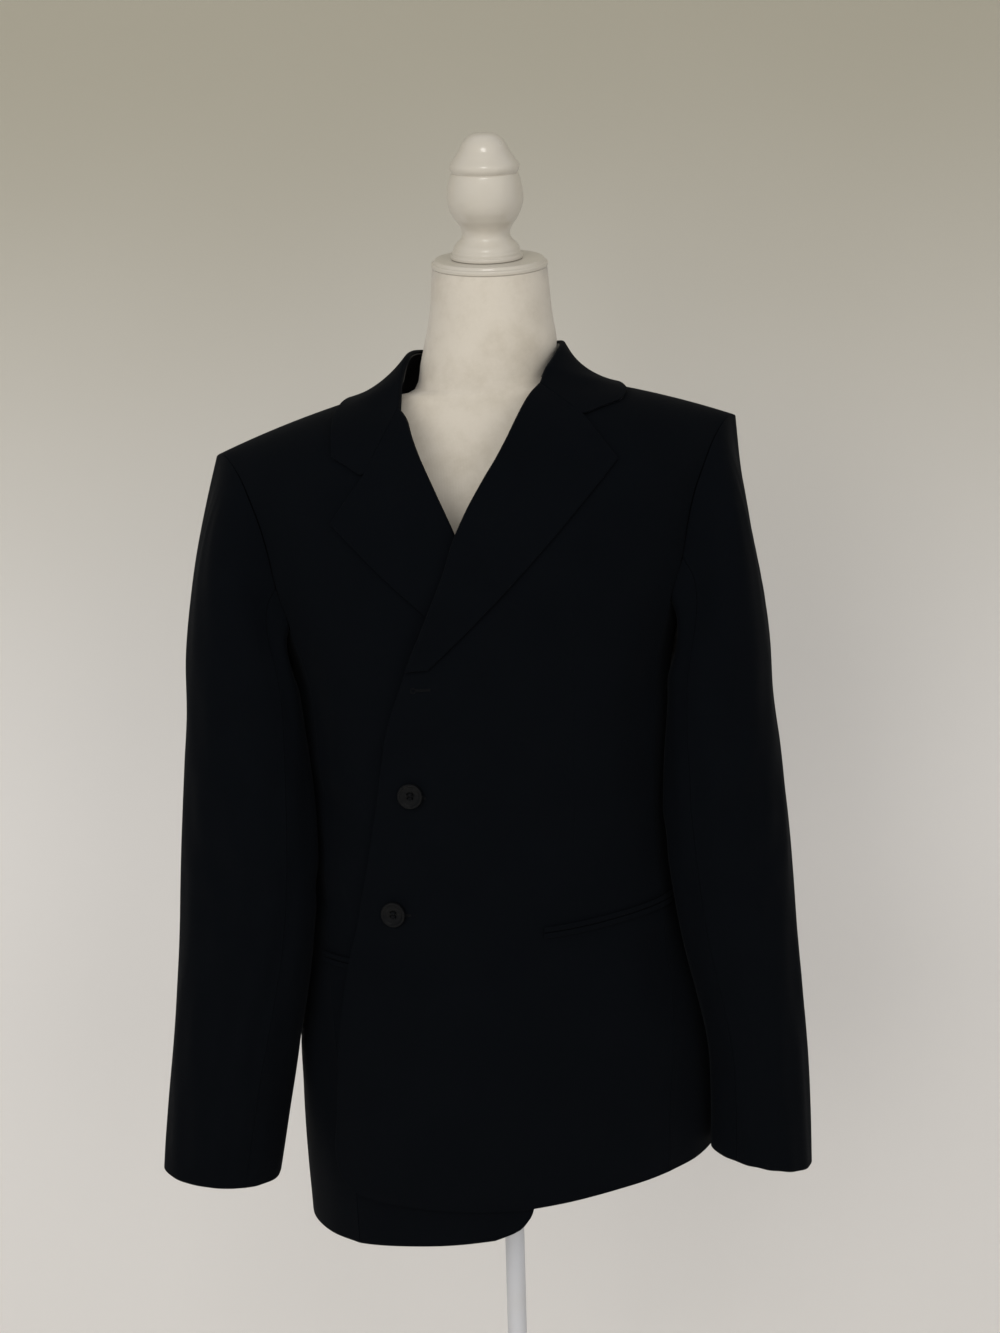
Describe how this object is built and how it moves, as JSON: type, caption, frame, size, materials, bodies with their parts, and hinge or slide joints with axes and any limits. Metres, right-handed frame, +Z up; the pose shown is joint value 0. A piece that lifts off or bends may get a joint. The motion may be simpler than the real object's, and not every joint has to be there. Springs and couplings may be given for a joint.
{
  "type": "double-breasted blazer on a limbless dress form",
  "caption": "Asymmetric double-breasted jacket with notched lapels, jetted pockets and long sleeves, buttoned on a limbless dress form with a turned finial, a pole and a round base.",
  "frame": {"origin": "on the floor, at the middle of the underside of the round base, on the dress form's upright axis", "axes": "+Z up along the pole; the jacket's front faces -Y; +X is the wearer's left"},
  "size_m": [0.5836, 0.3, 1.6049],
  "materials": {
    "black_wool": "matte black wool suiting",
    "dark_button": "satin near-black",
    "ivory_jersey": "plain stretched jersey",
    "white_lacquer": "glossy off-white lacquer",
    "white_steel": "satin white paint"
  },
  "bodies": {
    "root": {"front_left": "black_wool", "front_right": "black_wool", "side_panel_left": "black_wool", "side_panel_right": "black_wool", "back_left": "black_wool", "back_right": "black_wool", "sleeve_left_upper": "black_wool", "sleeve_left_under": "black_wool", "sleeve_right_upper": "black_wool", "sleeve_right_under": "black_wool", "lapel_left": "black_wool", "lapel_right": "black_wool", "collar_stand": "black_wool", "collar_leaf": "black_wool", "pocket_left_upper_jet": "black_wool", "pocket_left_lower_jet": "black_wool", "pocket_right_upper_jet": "black_wool", "pocket_right_lower_jet": "black_wool", "button_upper": "dark_button", "button_lower": "dark_button", "form_torso": "ivory_jersey", "neck_plate": "white_lacquer", "finial": "white_lacquer", "pole": "white_steel", "base_disc": "white_steel"}
  },
  "joints": []
}
